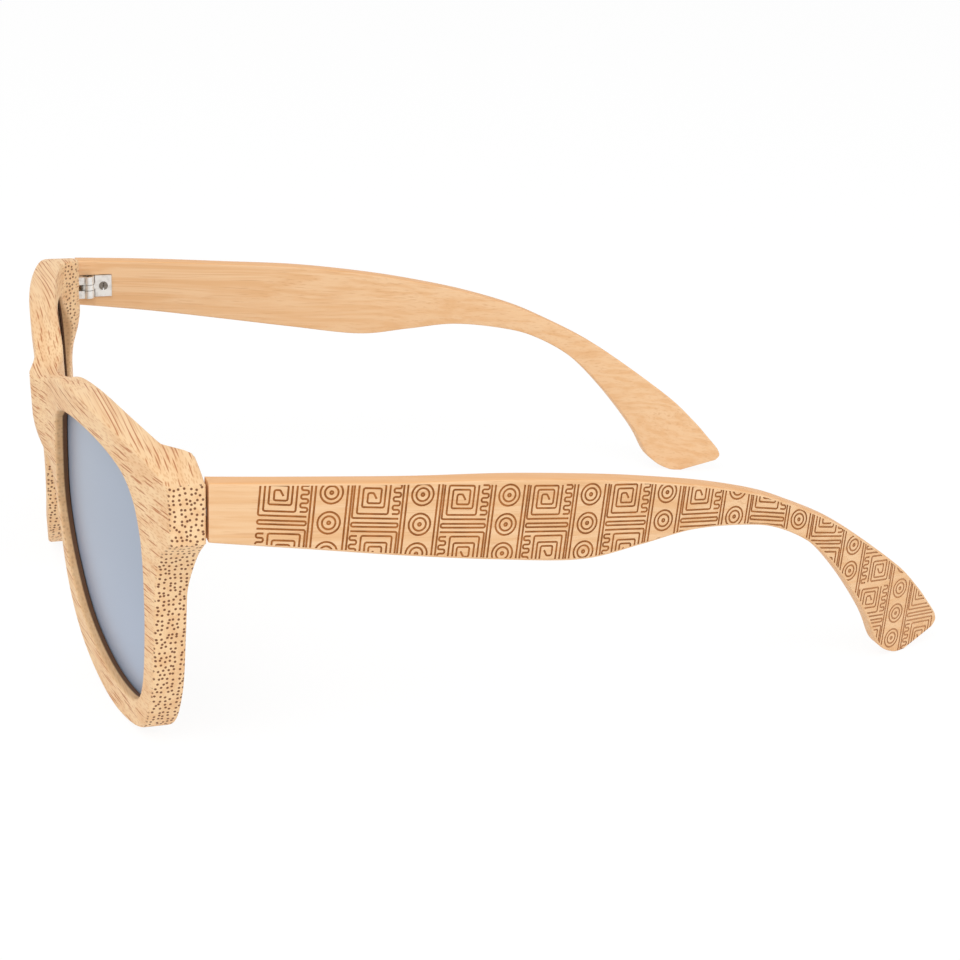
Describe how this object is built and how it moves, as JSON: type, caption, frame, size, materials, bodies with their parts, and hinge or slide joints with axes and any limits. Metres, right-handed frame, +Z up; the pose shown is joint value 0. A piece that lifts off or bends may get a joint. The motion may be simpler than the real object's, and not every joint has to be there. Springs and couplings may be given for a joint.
{
  "type": "wooden sunglasses",
  "caption": "Wooden sunglasses with a curved solid-wood front, blue-grey mirrored lenses, engraved folding temples and inlaid metal hinges.",
  "frame": {"origin": "bottom centre of the bounding box, on the table that the rims and the temple tips rest on", "axes": "+X towards the wearer's left, +Y from the front to the temple tips, +Z up"},
  "size_m": [0.1434, 0.1557, 0.0508],
  "materials": {
    "front_wood": "sanded bamboo, grain along X",
    "temple_wood": "sanded bamboo, grain along the temple",
    "lens": "mirror-coated blue-grey",
    "hinge_metal": "satin",
    "screw_metal": "satin"
  },
  "bodies": {
    "front": {"front_frame": "front_wood", "lens_left": "lens", "lens_right": "lens", "front_hinge_left": "hinge_metal", "front_hinge_right": "hinge_metal", "hinge_screw_left": "screw_metal", "hinge_screw_right": "screw_metal", "front_hinge_screw_upper_left": "screw_metal", "front_hinge_screw_lower_left": "screw_metal", "front_hinge_screw_upper_right": "screw_metal", "front_hinge_screw_lower_right": "screw_metal"},
    "left_temple": {"temple_left": "temple_wood", "temple_hinge_left": "hinge_metal", "temple_hinge_screw_left": "screw_metal"},
    "right_temple": {"temple_right": "temple_wood", "temple_hinge_right": "hinge_metal", "temple_hinge_screw_right": "screw_metal"}
  },
  "joints": [
    {"name": "left_temple_fold", "type": "hinge", "parent": "front", "child": "left_temple", "pos_m": [0.0673, -0.05906, 0.04295], "axis": [0, 0, 1], "range_deg": [0, 76]},
    {"name": "right_temple_fold", "type": "hinge", "parent": "front", "child": "right_temple", "pos_m": [-0.0673, -0.05906, 0.04295], "axis": [0, 0, -1], "range_deg": [0, 82]}
  ]
}
